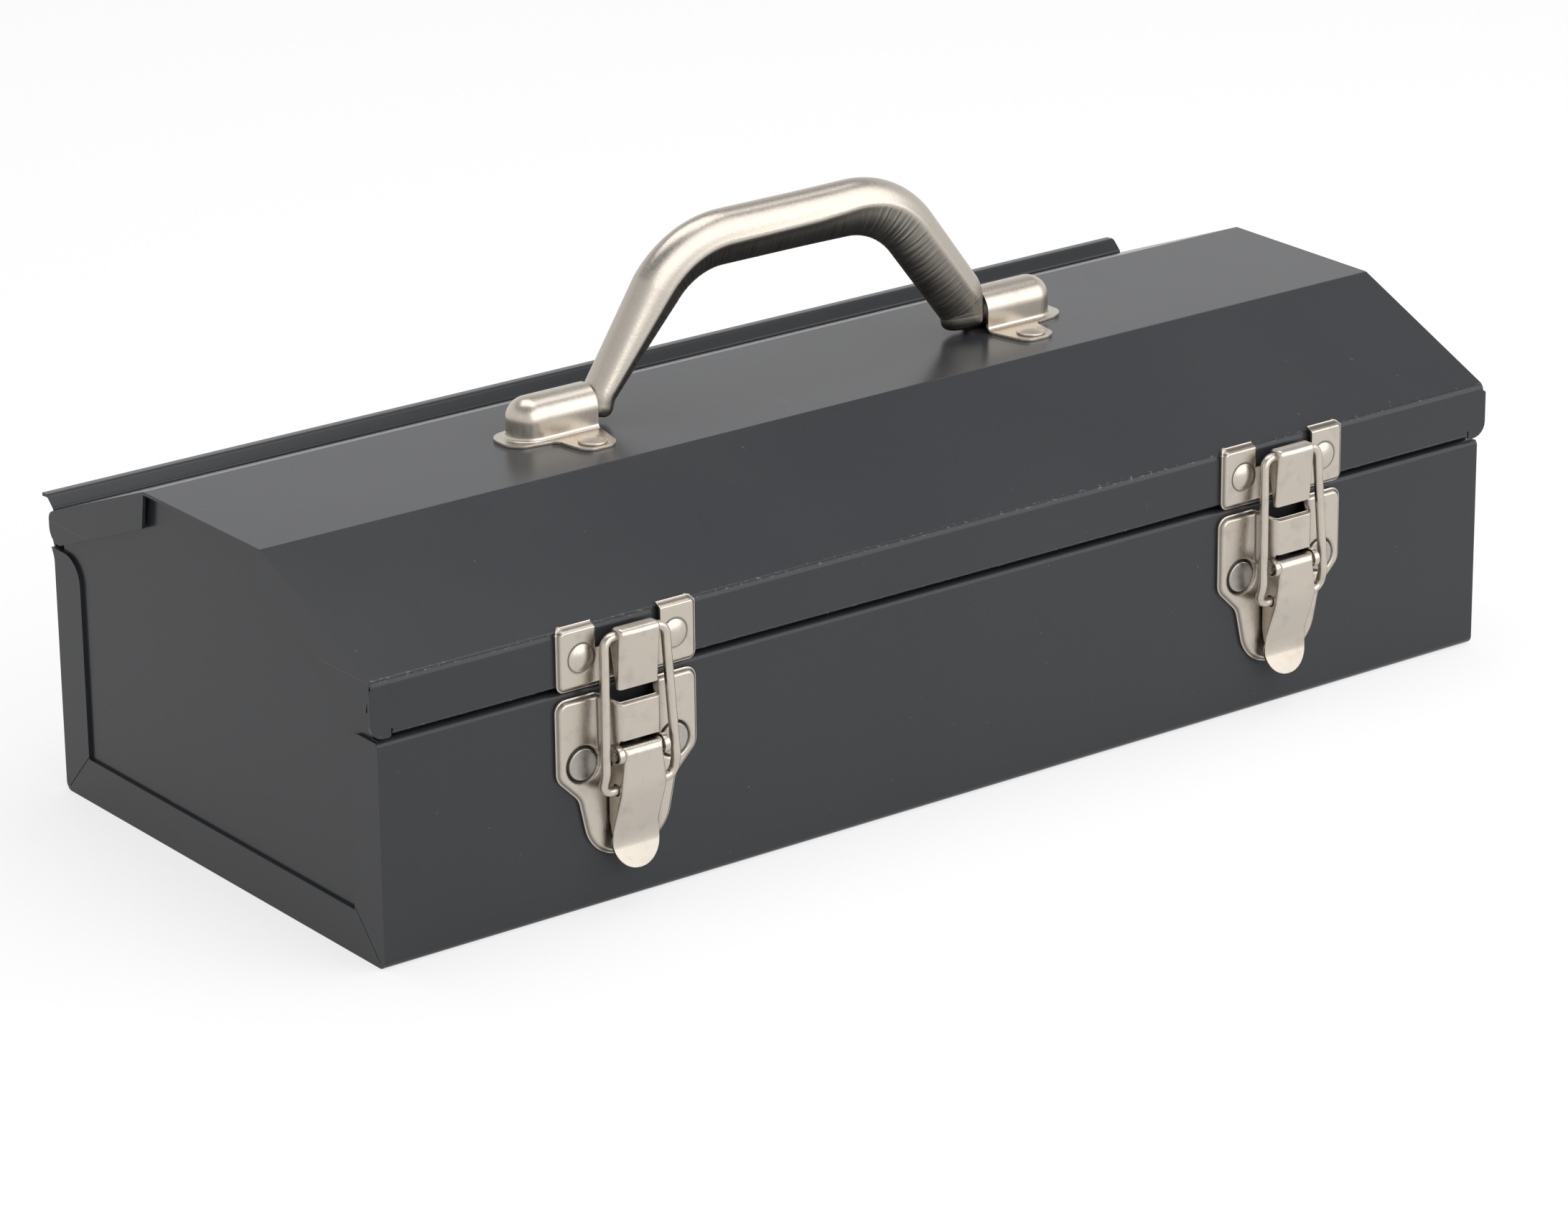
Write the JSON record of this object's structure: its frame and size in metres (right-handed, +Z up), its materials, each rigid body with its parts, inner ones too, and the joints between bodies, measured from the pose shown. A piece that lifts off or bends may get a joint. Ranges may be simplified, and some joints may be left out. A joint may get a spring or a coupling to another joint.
{
  "type": "metal toolbox",
  "caption": "Dark grey sheet steel toolbox with a hipped lid, riveted draw latches and a folding carrying handle.",
  "frame": {"origin": "middle of the flat bottom of the case, on the surface it stands on", "axes": "+X along the length, +Z up, the front with the latches at -Y"},
  "size_m": [0.4048, 0.1843, 0.1622],
  "materials": {
    "paint": "semi-gloss",
    "nickel": "satin"
  },
  "bodies": {
    "case": {"body_shell": "paint", "end_panel_left": "paint", "end_panel_right": "paint", "hinge_rod": "nickel", "latch_base_left": "nickel", "latch_base_right": "nickel", "latch_base_rivets_left": "nickel", "latch_base_rivets_right": "nickel", "lever_pin_left": "nickel", "lever_pin_right": "nickel"},
    "lid": {"lid_shell": "paint", "strike_left": "nickel", "strike_right": "nickel", "strike_rivets_left": "nickel", "strike_rivets_right": "nickel", "handle_bracket_left": "nickel", "handle_bracket_right": "nickel", "handle_rivets_left": "nickel", "handle_rivets_right": "nickel"},
    "handle": {"handle": "nickel"},
    "lever_left": {"lever_left": "nickel"},
    "bail_left": {"bail_left": "nickel", "claw_left": "nickel"},
    "lever_right": {"lever_right": "nickel"},
    "bail_right": {"bail_right": "nickel", "claw_right": "nickel"}
  },
  "joints": [
    {"name": "lid_hinge", "type": "hinge", "parent": "case", "child": "lid", "pos_m": [0, 0.0789, 0.0847], "axis": [-1, 0, 0], "range_deg": [0, 104]},
    {"name": "handle_swing", "type": "hinge", "parent": "lid", "child": "handle", "pos_m": [0, 0, 0.1131], "axis": [1, 0, 0], "range_deg": [-88, 88]},
    {"name": "lever_left_hinge", "type": "hinge", "parent": "case", "child": "lever_left", "pos_m": [-0.1192, -0.0911, 0.0468], "axis": [-1, 0, 0], "range_deg": [0, 120]},
    {"name": "bail_left_hinge", "type": "hinge", "parent": "lever_left", "child": "bail_left", "pos_m": [-0.1192, -0.09, 0.0363], "axis": [1, 0, 0], "range_deg": [0, 144]},
    {"name": "lever_right_hinge", "type": "hinge", "parent": "case", "child": "lever_right", "pos_m": [0.1192, -0.0911, 0.0468], "axis": [-1, 0, 0], "range_deg": [0, 120]},
    {"name": "bail_right_hinge", "type": "hinge", "parent": "lever_right", "child": "bail_right", "pos_m": [0.1192, -0.09, 0.0363], "axis": [1, 0, 0], "range_deg": [0, 144]}
  ],
  "couplings": [
    {"joint": "bail_left_hinge", "follows": "lever_left_hinge", "ratio": 1.2},
    {"joint": "bail_right_hinge", "follows": "lever_right_hinge", "ratio": 1.2}
  ]
}
